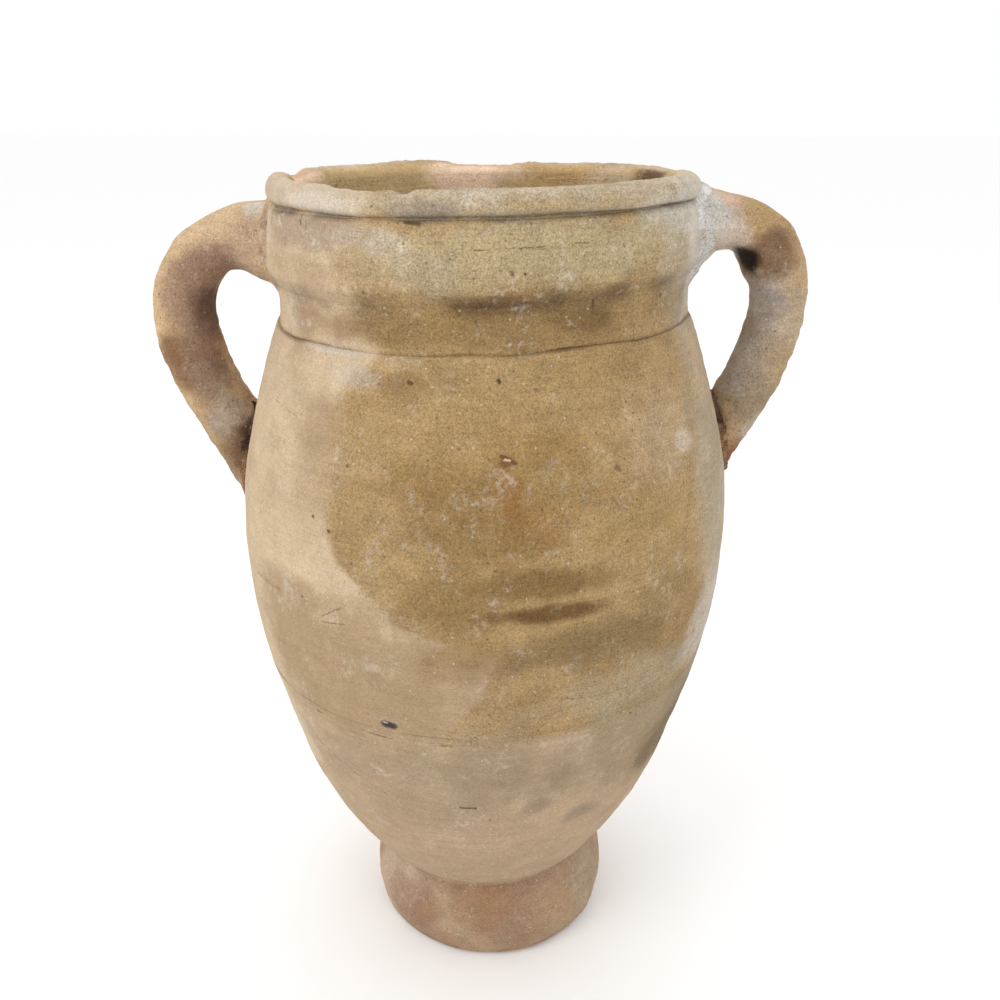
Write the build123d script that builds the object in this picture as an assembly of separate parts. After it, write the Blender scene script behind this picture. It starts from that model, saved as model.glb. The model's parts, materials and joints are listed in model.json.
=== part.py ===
"""Two-handled terracotta amphora, put together from separately formed clay pieces.

A short hollow pedestal foot carries a round-bottomed bowl.  The body rises in two thrown
sections to a narrow neck band, a thick rim collar and a rolled lip.  Two strap handles run
from the collar down to the shoulder, each held by a wad of luting clay at both roots.
Every joint is a stepped lap or a seat whose two faces come from one shared line.

Frame: millimetres, +Z up along the pot's axis, origin at the centre of the ring that the
foot rests on, handles at +X and -X.
"""
import os

from build123d import *

# Overall sizes
overall_height = 450.0
belly_radius = 133.3
belly_height = 255.0

# Foot
foot_height = 58.5           # up to the joint with the body
foot_radius = 70.0           # at that joint
foot_bulge = 0.6             # how far the foot's widest ring stands out from its joint
foot_bulge_height = 20.0
foot_base_inset = 4.0        # from the joint's radius in to the resting ring's edge
foot_arris_height = 6.0      # of the rounding up from the resting ring
foot_wall = 15.0
foot_inner_draft = 3.0       # how much the ring's inside closes in towards its top

# Body
wall_thickness = 11.0
bowl_dip = 20.0              # how far the bowl's rounded bottom sinks into the foot
lower_seam_height = 197.0

# Neck, collar and lip: the collar and lip are set out from the neck band they stand on
neck_radius = 106.4
neck_length = 21.5
neck_wall = 12.4
shoulder_step = 1.2          # the shoulder's edge stands this far outside the neck band
shoulder_slope = 0.34        # how far the wall closes in per unit of height at its top edge
mouth_flare_length = 6.0     # from the shoulder seam up to the straight bore
collar_height = 36.0
collar_overhang = 4.4
collar_lean = 3.4            # how much the collar closes in from its nose to the lip's groove
collar_cove = 6.0            # height of the undercut below the collar's nose
lip_height = 12.5
lip_overhang = 1.9
lip_groove_inset = 0.6

# Stepped laps between the wall's sections
lap_step = 5.0
lap_slope = 1.0
lip_lap_step = 2.5

# Smeared clay over the foot's joint
band_drop = 7.0
band_rise = 8.0
band_thickness = 1.6

# Handles
handle_thickness = 30.0      # measured in the plane of the handle
handle_width = 36.0          # measured around the pot
handle_bulge = 40.4          # of its centre line, outside the chord between its roots
handle_root_spacing = 115.0  # height between the two roots
handle_root_flare = 1.25     # the roots' section against the middle's
handle_embed = 24.0          # length of path kept inside the pot before trimming

# Luting wads: the clay that shows around each handle root
wad_margin = 9.0             # beyond the handle, around the pot
wad_depth = 9.0              # out from the pot's surface
top_wad_half_height = 21.0
bottom_wad_half_height = 40.0

# The body's outline between its named sizes, as (share of the way up, share of the way out)
UNDERSIDE_SHARES = [(0.08, 0.43), (0.38, 0.75)]
FLANK_SHARES = [(0.11, 0.245), (0.26, 0.484), (0.465, 0.698), (0.705, 0.895)]
SHOULDER_SHARES = [(0.44, 0.817), (0.76, 0.392)]

# The handle's centre line between its roots, as (share of the way down, share of the bulge)
HANDLE_SHARES = [(0.0, 0.35), (0.08, 0.77), (0.27, 1.0), (0.38, 0.98), (0.62, 0.72), (0.84, 0.34)]

# Heights and radii that follow from the sizes above
foot_base_radius = foot_radius - foot_base_inset
foot_bulge_radius = foot_radius + foot_bulge
foot_inner_radius = foot_base_radius - foot_wall
shoulder_radius = neck_radius + shoulder_step
mouth_radius = neck_radius - neck_wall
collar_radius = neck_radius + collar_overhang
collar_top_radius = collar_radius - collar_lean
lip_radius = neck_radius + lip_overhang
lip_groove_radius = neck_radius - lip_groove_inset
lip_bottom = overall_height - lip_height
collar_bottom = lip_bottom - collar_height
neck_bottom = collar_bottom - neck_length
underside_height = foot_height - bowl_dip
handle_top_root = collar_bottom + collar_height * 0.55
handle_bottom_root = handle_top_root - handle_root_spacing
far_out = 2 * (belly_radius + handle_bulge)


def between(start, end, share):
    """The value a share of the way from start to end."""
    return start + (end - start) * share


def closed_face(*edges):
    """A face in the profile plane, where x is radius and y is height."""
    return make_face(Curve() + list(edges))


def polygon(points):
    return make_face(Polyline(*points, close=True).edges())


def turned(profile):
    """A solid of revolution about the pot's axis."""
    return revolve(Plane.XZ * profile, axis=Axis.Z)


def body_outline():
    """The body's outer line, from the axis under the bowl up to the shoulder seam."""
    points = [(0, underside_height)]
    for up, out in UNDERSIDE_SHARES:
        points.append((foot_radius * out, between(underside_height, foot_height, up)))
    points.append((foot_radius, foot_height))
    for up, out in FLANK_SHARES:
        points.append((between(foot_radius, belly_radius, out), between(foot_height, belly_height, up)))
    points.append((belly_radius, belly_height))
    for up, out in SHOULDER_SHARES:
        points.append((between(shoulder_radius, belly_radius, out), between(belly_height, neck_bottom, up)))
    points.append((shoulder_radius, neck_bottom))
    return Spline(*points, tangents=[(1, 0), (-shoulder_slope, 1)])


OUTLINE = body_outline()


def radius_at(height):
    """The body's outer radius at a height, found by halving the outline."""
    low, high = 0.0, 1.0
    for _ in range(40):
        middle = (low + high) / 2
        if OUTLINE.position_at(middle).Y < height:
            low = middle
        else:
            high = middle
    return OUTLINE.position_at(low).X


def inner_outline():
    """The cavity's line: the outer line moved in by the wall, then up to the bore's foot."""
    stations = 12
    points = []
    for index in range(stations):
        share = index / stations
        place = OUTLINE.position_at(share)
        along = OUTLINE.tangent_at(share)
        points.append((place.X - wall_thickness * along.Y, place.Y + wall_thickness * along.X))
    points[0] = (0, underside_height + wall_thickness)
    points.append((mouth_radius, neck_bottom + mouth_flare_length))
    return Spline(*points, tangents=[(1, 0), (0, 1)])


def wall_section():
    """The whole wall from the bowl's floor to the lip, before it is parted at the joints."""
    inner = inner_outline()
    lip_crest = between(mouth_radius, lip_radius, 0.5)
    outer_roll = ThreePointArc(
        (lip_groove_radius, lip_bottom),
        (lip_radius, between(lip_bottom, overall_height, 0.42)),
        (lip_crest, overall_height),
    )
    bore_top = between(lip_bottom, overall_height, 0.4)
    inner_roll = ThreePointArc(
        (lip_crest, overall_height),
        (between(mouth_radius, lip_crest, 0.28), between(bore_top, overall_height, 0.72)),
        (mouth_radius, bore_top),
    )
    nose = ThreePointArc(
        (neck_radius, collar_bottom),
        (between(neck_radius, collar_radius, 0.75), collar_bottom + collar_cove * 0.35),
        (collar_radius, collar_bottom + collar_cove),
    )
    return closed_face(
        OUTLINE,
        Line((shoulder_radius, neck_bottom), (neck_radius, neck_bottom)),
        Line((neck_radius, neck_bottom), (neck_radius, collar_bottom)),
        nose,
        Line((collar_radius, collar_bottom + collar_cove), (collar_top_radius, lip_bottom)),
        Line((collar_top_radius, lip_bottom), (lip_groove_radius, lip_bottom)),
        outer_roll,
        inner_roll,
        Line((mouth_radius, bore_top), (mouth_radius, neck_bottom + mouth_flare_length)),
        inner,
        Line((0, underside_height + wall_thickness), (0, underside_height)),
    )


def bowl_fill():
    """The body's outer line closed to the axis: what the foot and the band seat against."""
    return closed_face(
        OUTLINE,
        Line((shoulder_radius, neck_bottom), (0, neck_bottom)),
        Line((0, neck_bottom), (0, underside_height)),
    )


def lap_line(height, wall_middle, step):
    """A stepped lap across the wall, from outside the pot in to its axis."""
    return [
        (far_out, height),
        (wall_middle + lap_slope / 2, height),
        (wall_middle - lap_slope / 2, height + step),
        (-far_out, height + step),
    ]


def wall_joints():
    """The four laps that part the wall, lowest first."""
    return [
        lap_line(lower_seam_height, radius_at(lower_seam_height) - wall_thickness / 2, lap_step),
        lap_line(neck_bottom, between(mouth_radius, neck_radius, 0.55), lap_step),
        lap_line(collar_bottom, between(mouth_radius, neck_radius, 0.5), lap_step),
        lap_line(lip_bottom, between(mouth_radius, lip_groove_radius, 0.5), lip_lap_step),
    ]


def wall_pieces():
    """The wall parted at its laps and turned, lowest first."""
    floor_line = [(far_out, -far_out), (-far_out, -far_out)]
    sky_line = [(far_out, far_out + overall_height), (-far_out, far_out + overall_height)]
    lines = [floor_line, *wall_joints(), sky_line]
    section = wall_section()
    names = ["body_lower", "body_upper", "neck_band", "rim_collar", "rim_lip"]
    pieces = {}
    for name, lower, upper in zip(names, lines, lines[1:]):
        slab = polygon(lower + upper[::-1])
        pieces[name] = turned(section & slab)
    return pieces


def foot_section():
    """The foot's ring, seated against the bowl's underside."""
    inner_top = foot_inner_radius - foot_inner_draft
    blank = closed_face(
        Line((foot_inner_radius, 0), (foot_base_radius, 0)),
        ThreePointArc(
            (foot_base_radius, 0),
            (between(foot_base_radius, foot_radius, 0.8), foot_arris_height * 0.3),
            (foot_radius, foot_arris_height),
        ),
        Spline(
            (foot_radius, foot_arris_height),
            (foot_bulge_radius, foot_bulge_height),
            (foot_radius, foot_height),
        ),
        Line((foot_radius, foot_height), (inner_top, foot_height)),
        Line((inner_top, foot_height), (foot_inner_radius, 0)),
    )
    return blank - bowl_fill()


def band_section():
    """Clay smeared over the foot's joint: a thin collar lying on both pieces."""
    low = foot_height - band_drop
    high = foot_height + band_rise
    core = foot_radius - foot_wall / 2
    blank = closed_face(
        Line((core, low), (foot_bulge_radius + band_thickness, low)),
        Spline(
            (foot_bulge_radius + band_thickness, low),
            (between(foot_radius, radius_at(high), 0.3) + band_thickness, foot_height),
            (radius_at(high) + band_thickness, high),
        ),
        Line((radius_at(high) + band_thickness, high), (core, high)),
        Line((core, high), (core, low)),
    )
    return blank - bowl_fill() - foot_section()


def pot_envelope():
    """The pot filled solid, which trims the handles and wads to its skin."""
    section = wall_section()
    plug = polygon([
        (0, underside_height + wall_thickness / 2),
        (mouth_radius - wall_thickness, underside_height + foot_height),
        (mouth_radius + 1, neck_bottom),
        (mouth_radius + 1, overall_height - lip_height / 2),
        (0, overall_height - lip_height / 2),
    ])
    return turned(bowl_fill() + section + plug)


def handle_path():
    """The centre line of the +X handle, from inside the collar to inside the shoulder."""
    top = (collar_radius, handle_top_root)
    bottom = (radius_at(handle_bottom_root), handle_bottom_root)
    points = [(top[0] - handle_embed, top[1])]
    for down, out in HANDLE_SHARES:
        rise = between(top[1], bottom[1], down)
        points.append((between(top[0], bottom[0], down) + handle_bulge * out, rise))
    points.append(bottom)
    points.append((bottom[0] - handle_embed, bottom[1] - handle_embed * 0.9))
    return Spline(*points)


def right_handle(envelope):
    """Oval sections lofted along the path and trimmed to the pot's skin."""
    path = Plane.XZ * handle_path()
    stations = 9
    ovals = []
    for index in range(stations + 1):
        share = index / stations
        root_nearness = abs(2 * share - 1) ** 2
        size = between(1.0, handle_root_flare, root_nearness)
        across = Plane(
            origin=path.position_at(share),
            x_dir=(0, 1, 0),
            z_dir=path.tangent_at(share),
        )
        ovals.append(across * Ellipse(handle_width / 2 * size, handle_thickness / 2 * size))
    return loft(ovals) - envelope


def right_wad(height, radius, half_height, handle, envelope):
    """A flattened lump of clay around one handle root, with the handle running through it."""
    lump = scale(Sphere(1), by=(wad_depth, handle_width / 2 + wad_margin, half_height))
    return Pos(radius, 0, height) * lump - envelope - handle


def handle_pieces():
    """Both handles and their four wads; the -X side is the +X side turned half round."""
    envelope = pot_envelope()
    handle = right_handle(envelope)
    top = right_wad(handle_top_root, collar_radius, top_wad_half_height, handle, envelope)
    bottom_radius = radius_at(handle_bottom_root)
    bottom = right_wad(handle_bottom_root, bottom_radius, bottom_wad_half_height, handle, envelope)
    pieces = {}
    for side, turn in (("right", 0), ("left", 180)):
        pieces[f"handle_{side}"] = Rot(0, 0, turn) * handle
        pieces[f"wad_{side}_top"] = Rot(0, 0, turn) * top
        pieces[f"wad_{side}_bottom"] = Rot(0, 0, turn) * bottom
    return pieces


def main():
    pieces = {"foot": turned(foot_section()), "foot_luting_band": turned(band_section())}
    pieces.update(wall_pieces())
    pieces.update(handle_pieces())
    os.makedirs("parts", exist_ok=True)
    for name, piece in pieces.items():
        export_step(piece, f"parts/{name}.step")


main()
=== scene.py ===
"""The amphora's looks: weathered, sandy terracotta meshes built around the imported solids.

Each CAD piece is stood in for by a closed mesh of the same outline, with the throwing lines,
chips, seams, lumps and smeared clay that the turned solid leaves out.  Azimuths are degrees
round the jar from its weathered front, growing towards +X; heights in the tables are in mm.
"""
import json
import math

import bpy
import numpy as np
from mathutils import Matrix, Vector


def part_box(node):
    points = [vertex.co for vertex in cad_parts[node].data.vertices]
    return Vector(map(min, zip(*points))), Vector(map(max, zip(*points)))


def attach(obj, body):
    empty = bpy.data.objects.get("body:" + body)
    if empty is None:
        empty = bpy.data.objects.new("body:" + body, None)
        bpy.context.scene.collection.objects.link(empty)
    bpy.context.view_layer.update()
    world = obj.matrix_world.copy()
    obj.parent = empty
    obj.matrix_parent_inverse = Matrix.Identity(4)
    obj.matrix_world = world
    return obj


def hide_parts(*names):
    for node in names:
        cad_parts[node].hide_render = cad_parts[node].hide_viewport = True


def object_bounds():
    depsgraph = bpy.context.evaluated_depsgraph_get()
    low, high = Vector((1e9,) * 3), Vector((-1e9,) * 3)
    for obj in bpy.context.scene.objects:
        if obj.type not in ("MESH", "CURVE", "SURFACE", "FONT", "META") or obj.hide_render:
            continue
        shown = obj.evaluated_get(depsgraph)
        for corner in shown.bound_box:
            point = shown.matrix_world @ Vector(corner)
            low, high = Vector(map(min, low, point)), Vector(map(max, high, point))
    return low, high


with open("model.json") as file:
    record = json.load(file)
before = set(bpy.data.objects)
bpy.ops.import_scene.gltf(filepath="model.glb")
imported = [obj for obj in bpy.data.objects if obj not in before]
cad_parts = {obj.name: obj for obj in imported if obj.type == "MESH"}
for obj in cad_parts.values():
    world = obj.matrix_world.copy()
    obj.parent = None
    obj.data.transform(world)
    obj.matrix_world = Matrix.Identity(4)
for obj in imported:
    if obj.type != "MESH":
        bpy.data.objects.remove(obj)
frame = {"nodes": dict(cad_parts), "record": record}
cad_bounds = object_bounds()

MM = 0.001
SEED = 7
FRONT_TURN = 4.0             # the weathered front faces this far round from -Y towards +X
SEGMENTS = 640               # mesh columns round the jar
JOINT_STEP = 2.5 * MM        # between mesh rows where a joint's faces are hidden
WALL = 11 * MM
NECK_FLARE = 0.5 * MM        # how far the neck opens out to meet the collar
FOOT_SHIFT = 1.9 * MM        # how far the foot sits off the jar's axis, towards +X
FOOT_WAIST = 7.5 * MM        # how far the foot's top closes in from its radius
LAP = 5 * MM                 # height of the stepped laps between sections
SHARP_CORNER = 60            # degrees between faces past which an edge is shaded sharp
POLE = 0.5 * MM              # radius of the small caps where a surface meets the axis
LIGHT_LEVEL = 1.20           # how bright the studio light makes a white surface; tints are as seen

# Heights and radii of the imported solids
HEIGHT = cad_bounds[1].z
FOOT_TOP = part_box("foot")[1].z
FOOT_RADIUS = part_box("foot")[1].x
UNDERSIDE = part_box("body_lower")[0].z
WHEEL_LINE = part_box("body_upper")[0].z
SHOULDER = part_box("neck_band")[0].z
NECK_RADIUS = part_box("neck_band")[1].x
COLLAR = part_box("rim_collar")[0].z
COLLAR_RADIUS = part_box("rim_collar")[1].x
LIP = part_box("rim_lip")[0].z
LIP_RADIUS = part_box("rim_lip")[1].x
BORE = next(m for m in frame["record"]["mounts"] if m["name"] == "mouth")["dims"]["r_mm"] * MM


# ---------------------------------------------------------------- numbers

def smoothstep(low, high, value):
    t = np.clip((value - low) / (high - low), 0, 1)
    return t * t * (3 - 2 * t)


def wrapped(degrees):
    """An angle brought to -180 up to 180."""
    return (degrees + 180) % 360 - 180


def around(radius, angle, height):
    """Points round the jar's axis, the angle in radians from -Y towards +X."""
    return np.stack([radius * np.sin(angle), -radius * np.cos(angle), height], -1)


def mix(first, second, share):
    """Blend of two colours or colour fields by a field of shares."""
    share = np.asarray(share)[..., None]
    return first * (1 - share) + second * share


def rgb(red, green, blue):
    """A colour given as seen on screen, 0 to 255, as linear light."""
    seen = np.array([red, green, blue]) / 255
    return np.where(seen <= 0.04045, seen / 12.92, ((seen + 0.055) / 1.055) ** 2.4)


def lattice(x, y, z, seed):
    """A repeatable number from -1 to 1 for each whole-number cell."""
    h = ((x * 73856093) ^ (y * 19349663) ^ (z * 83492791) ^ (seed * 97531 + 12345)) & 0xFFFFFFFF
    h = ((h ^ (h >> 15)) * 2246822519) & 0xFFFFFFFF
    h = ((h ^ (h >> 13)) * 3266489917) & 0xFFFFFFFF
    h ^= h >> 16
    return (h & 0xFFFF) / 32767.5 - 1


def noise(points, size, seed, octaves=1):
    """Smooth noise, about -1 to 1, with lumps `size` metres across (one size, or one per axis)."""
    seed += SEED
    total, weight = 0.0, 1.0
    for octave in range(octaves):
        scaled = points / np.asarray(size) * 2**octave + 37.0
        cell = np.floor(scaled)
        part = scaled - cell
        part = part * part * (3 - 2 * part)
        cell = cell.astype(np.int64)
        value = 0.0
        for corner in range(8):
            step = [(corner >> axis) & 1 for axis in range(3)]
            near = np.prod([part[..., k] if step[k] else 1 - part[..., k] for k in range(3)], axis=0)
            value = value + near * lattice(*(cell[..., k] + step[k] for k in range(3)), seed + octave)
        total = total + weight * value
        weight *= 0.5
    return total


def smooth_line(points, count):
    """`count` places along a smooth curve through the points (Catmull-Rom)."""
    points = np.asarray(points, float)
    ends = np.vstack([2 * points[0] - points[1], points, 2 * points[-1] - points[-2]])
    place = np.linspace(0, len(points) - 1, count)
    index = np.minimum(place.astype(int), len(points) - 2)
    t = (place - index)[:, None]
    a, b, c, d = (ends[index + k] for k in range(4))
    bend = (2 * a - 5 * b + 4 * c - d) * t**2 + (3 * b - a - 3 * c + d) * t**3
    return 0.5 * (2 * b + (c - a) * t + bend)


def spaced(points, step):
    """The polyline through the points in equal steps of about `step`, closer at its two ends."""
    points = np.asarray(points, float)
    run = np.concatenate([[0], np.cumsum(np.hypot(*np.diff(points, axis=0).T))])
    walk = np.linspace(0, run[-1], max(2, int(round(run[-1] / step)) + 1))
    if run[-1] > 8 * MM:
        hem = np.array([0.25, 0.6, 1.1]) * MM
        walk = np.unique(np.concatenate([walk, hem, run[-1] - hem]))
    return np.column_stack([np.interp(walk, run, points[:, k]) for k in range(2)])


# ---------------------------------------------------------------- the jar's outline

def cad_outline():
    """(radius, height) up the outside of the body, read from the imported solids."""
    found = []
    for node in ("body_lower", "body_upper"):
        for vertex in frame["nodes"][node].data.vertices:
            radius = math.hypot(vertex.co.x, vertex.co.y)
            outward = (vertex.normal.x * vertex.co.x + vertex.normal.y * vertex.co.y) / max(radius, POLE)
            if outward > 0.3 and radius > WALL and vertex.co.z < SHOULDER + 0.1 * MM:
                found.append((vertex.co.z, radius))
    found = np.array(sorted(found))
    kept = [(UNDERSIDE, POLE), (UNDERSIDE + 0.4 * MM, 15 * MM)]
    for height, radius in found:
        beside = found[np.abs(found[:, 0] - height) < 1.5 * MM, 1].max()
        if beside - radius < 3 * MM and height - kept[-1][0] > 5 * MM:
            kept.append((height, radius))
    kept.append((SHOULDER, found[found[:, 0] > SHOULDER - 0.2 * MM, 1].max()))
    return smooth_line([(radius, height) for height, radius in kept], 900)


OUTLINE = cad_outline()


def collar_line():
    """The collar's outside, from the neck out under its nose and up to the lip's groove."""
    nose = COLLAR + 8 * MM
    return [
        (NECK_RADIUS + NECK_FLARE, COLLAR),
        (NECK_RADIUS + 1.7 * MM, COLLAR + 1.6 * MM),
        (COLLAR_RADIUS - 2.0 * MM, COLLAR + 3.6 * MM),
        (COLLAR_RADIUS - 0.6 * MM, COLLAR + 5.6 * MM),
        (COLLAR_RADIUS, nose),
        (COLLAR_RADIUS - 0.3 * MM, nose + 5 * MM),
        (COLLAR_RADIUS - 1.3 * MM, nose + 14 * MM),
        (COLLAR_RADIUS - 2.6 * MM, LIP - 4 * MM),
        (COLLAR_RADIUS - 3.6 * MM, LIP - 1.2 * MM),
        (NECK_RADIUS - 0.9 * MM, LIP),
    ]


def pot_radius(height):
    """The jar's outer radius at any height."""
    collar = smooth_line(collar_line(), 60)
    neck = [(NECK_RADIUS, SHOULDER + MM), (NECK_RADIUS, COLLAR - MM)]
    lip = [(LIP_RADIUS, LIP + 3 * MM), (LIP_RADIUS, HEIGHT - 3 * MM)]
    radii, heights = np.concatenate([OUTLINE, neck, collar, lip]).T
    return np.interp(height, heights, radii)


def inner_line():
    """The cavity's side of the body: the outline moved in by the wall."""
    along = np.gradient(OUTLINE, axis=0)
    along /= np.hypot(*along.T)[:, None]
    moved = OUTLINE + WALL * along[:, ::-1] * (-1, 1)
    return moved[moved[:, 0] > POLE]


def lap(height, outer, inner):
    """The stepped joint across the wall, from outside in."""
    middle = (outer + inner) / 2
    top = height + LAP
    return [(outer, height), (middle + 0.5 * MM, height), (middle - 0.5 * MM, top), (inner, top)]


# How far the turned rings tilt, in degrees, rising towards +X: the base stands level
TILT_HEIGHTS = np.array([0, 50, 60, 197, 300, 380, 404, 430, 450]) * MM
TILT_DEGREES = np.array([0, 2.0, 2.2, 1.9, 1.5, 1.0, 1.7, 1.2, 0.2])


def lean(points):
    """Moves points of the true solid of revolution to where the hand-made jar has them."""
    x, y, z = np.moveaxis(points, -1, 0)
    tilt = np.radians(np.interp(z, TILT_HEIGHTS, TILT_DEGREES))
    radius = np.maximum(np.hypot(x, y), POLE)
    ring = np.stack([x / radius * 0.1, y / radius * 0.1, np.zeros_like(z)], -1)
    wander = np.zeros_like(z)
    seams = ((SHOULDER, 1.6, 41), (WHEEL_LINE, 0.6, 42), (COLLAR, 0.9, 43), (LIP, 0.6, 44))
    for height, amount, seed in seams:
        near = np.exp(-((z - height) / (9 * MM)) ** 2)
        wander += near * amount * MM * noise(ring, 0.04, seed, 2)
    rise = x * np.tan(tilt) + wander
    out = 1 + 0.0025 * noise(ring, 0.09, 50) * smoothstep(0, 0.1, z)
    aside = FOOT_SHIFT * smoothstep(75 * MM, 45 * MM, z)
    return np.stack([x * out + aside, y * out, z + rise], -1)


# ---------------------------------------------------------------- meshes

def grid_faces(rows, columns, closed, caps):
    """Quads over a grid whose columns wrap round; rows wrap too when closed, or end in caps."""
    index = np.arange(rows * columns).reshape(rows, columns)
    upper = np.roll(index, -1, 0) if closed else index[1:]
    lower = index if closed else index[:-1]
    quads = np.stack([lower, np.roll(lower, -1, 1), np.roll(upper, -1, 1), upper], -1)
    faces = quads.reshape(-1, 4).tolist()
    if caps:
        faces += [index[0][::-1].tolist(), index[-1].tolist()]
    return faces


def clay_piece(name, points, tint, grit, material, closed=True, caps=False):
    """A closed mesh from a grid of points, coloured per vertex, standing for the CAD node."""
    rows, columns = points.shape[:2]
    mesh = bpy.data.meshes.new(name + "_clay")
    mesh.from_pydata(points.reshape(-1, 3).tolist(), [], grid_faces(rows, columns, closed, caps))
    colour = mesh.color_attributes.new("tint", "FLOAT_COLOR", "POINT")
    alpha = np.ones((rows, columns, 1))
    paint = np.concatenate([np.clip(tint / LIGHT_LEVEL, 0, 1), alpha], -1)
    colour.data.foreach_set("color", paint.astype(np.float32).ravel())
    grains = mesh.attributes.new("grit", "FLOAT", "POINT")
    grains.data.foreach_set("value", np.broadcast_to(grit, (rows, columns)).astype(np.float32).ravel())
    mesh.shade_smooth()
    mesh.set_sharp_from_angle(angle=math.radians(SHARP_CORNER))
    mesh.materials.append(material)
    piece = bpy.data.objects.new(name + "_clay", mesh)
    bpy.context.scene.collection.objects.link(piece)
    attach(piece, "root")
    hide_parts(name)


HIDDEN, OUTSIDE, INSIDE = 0, 1, 2
ROUND = np.linspace(0, 2 * math.pi, SEGMENTS, endpoint=False)[None, :]


class Wall:
    """A turned piece as a grid: rows follow the section, columns go round the jar."""

    def __init__(self, *lines):
        """Each line is (points, step, skin): a stretch of the section and what it faces."""
        radius_height, skin = [], []
        for points, step, kind in lines:
            walked = spaced(points, step)
            if radius_height:
                walked = walked[1:]
                if kind != HIDDEN:
                    skin[-1][-1] = kind
            radius_height.append(walked)
            skin.append(np.full(len(walked), kind))
        self.section = np.concatenate(radius_height)
        self.skin = np.concatenate(skin)[:, None]
        self.angle = ROUND
        self.height = np.repeat(self.section[:, 1:], SEGMENTS, 1)
        self.azimuth = np.repeat(wrapped(np.degrees(ROUND) - FRONT_TURN), len(self.section), 0)

    def close(self):
        """Drops the last row where the section comes back to its start."""
        self.section, self.skin = self.section[:-1], self.skin[:-1]
        self.height, self.azimuth = self.height[:-1], self.azimuth[:-1]
        return self

    def place(self, out=None):
        """The grid's points, moved out of the surface by a field of distances."""
        along = np.gradient(self.section, axis=0)
        along /= np.maximum(np.hypot(*along.T), 1e-9)[:, None]
        out = np.zeros_like(self.height) if out is None else out
        radius = self.section[:, :1] + out * along[:, 1:]
        height = self.section[:, 1:] - out * along[:, :1]
        return around(radius, self.angle, height)


def throwing_relief(points, seed):
    """Wheel lines, soft dents and sand: what a thrown, wiped wall has all over."""
    lines = 0.16 * noise(points, (0.25, 0.25, 0.0026), seed)
    lines = lines + 0.22 * noise(points, (0.3, 0.3, 0.008), seed + 1)
    dents = 0.75 * noise(points, 0.045, seed + 2) + 0.22 * noise(points, 0.014, seed + 3)
    sand = 0.07 * noise(points, 0.0026, seed + 4)
    return (lines + dents + sand) * MM


def seam_relief(height, points, joint, depth, seed):
    """The rounded edges either side of a joint, deeper and shallower as it goes round."""
    uneven = 0.45 + 0.9 * noise(points * (1, 1, 0), 0.014, seed, 2)
    return -depth * np.clip(uneven, 0.0, 1.3) * np.exp(-np.abs(height - joint) / (0.4 * MM))


# ---------------------------------------------------------------- colours

PALE_CLAY = rgb(208, 184, 153)
TAN_CLAY = rgb(178, 153, 121)
ROSY_CLAY = rgb(182, 156, 127)
OCHRE = rgb(172, 142, 95)
BROWN = rgb(143, 112, 68)
GREY_CLAY = rgb(176, 163, 140)
LIME = rgb(222, 214, 200)
PEACH_BREAK = rgb(214, 172, 138)
# Dark brown for dirt, and for painted shade in the grooves under the collar's nose and under the lip.
DIRT_AND_SHADE = rgb(84, 66, 48)
# Dark brown for painted shade and dirt under the collar's nose.
UNDERCUT_SHADE_AND_DIRT = rgb(112, 86, 54)
# Mauve-brown for painted shade: under the bowl's edge on the foot, and on the left handle's front face.
SHADE_MAUVE = rgb(142, 112, 94)
FOOT_CLAY = rgb(174, 141, 113)
BORE_CLAY = rgb(196, 166, 118)
PLASTER = rgb(212, 206, 198)

# The ochre stain's left edge: (height, azimuth, how far it fades, in degrees)
STAIN_EDGE = [
    (185, -12, 6), (194, -10, 1.2), (203, -7, 1), (222, -1, 1), (248, 2, 1), (254, -9, 1.2),
    (260, -17, 1.2), (270, -23, 1), (286, -31, 1), (300, -33.5, 2), (330, -36, 8), (362, -34, 3),
    (380, -27, 2), (384, -30, 8), (402, -34, 14), (450, -30, 16)]

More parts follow.
